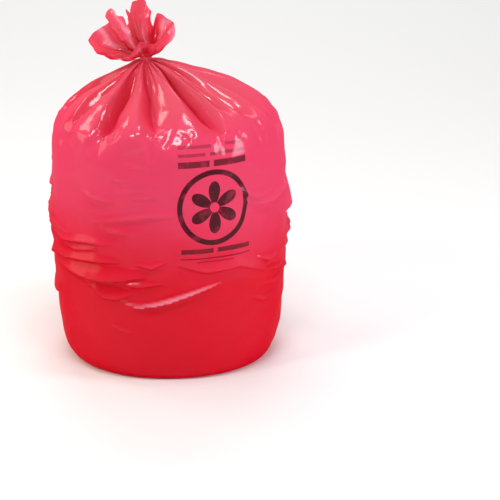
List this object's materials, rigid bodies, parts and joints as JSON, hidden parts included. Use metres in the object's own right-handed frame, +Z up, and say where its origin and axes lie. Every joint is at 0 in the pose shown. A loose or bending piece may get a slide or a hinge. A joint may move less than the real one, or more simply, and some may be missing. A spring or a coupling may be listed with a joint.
{
  "type": "biohazard waste bag",
  "caption": "Filled waste bag of red see-through plastic film, standing on its base, with a gathered neck and a ruffled open mouth above it.",
  "frame": {"origin": "middle of the base, on the floor", "axes": "+Z up, -Y towards the printed front, +X to the right as seen from the front"},
  "size_m": [0.4963, 0.4918, 0.7275],
  "materials": {
    "film": "glossy, see-through, creased"
  },
  "bodies": {
    "root": {"bag": "film"}
  },
  "joints": []
}
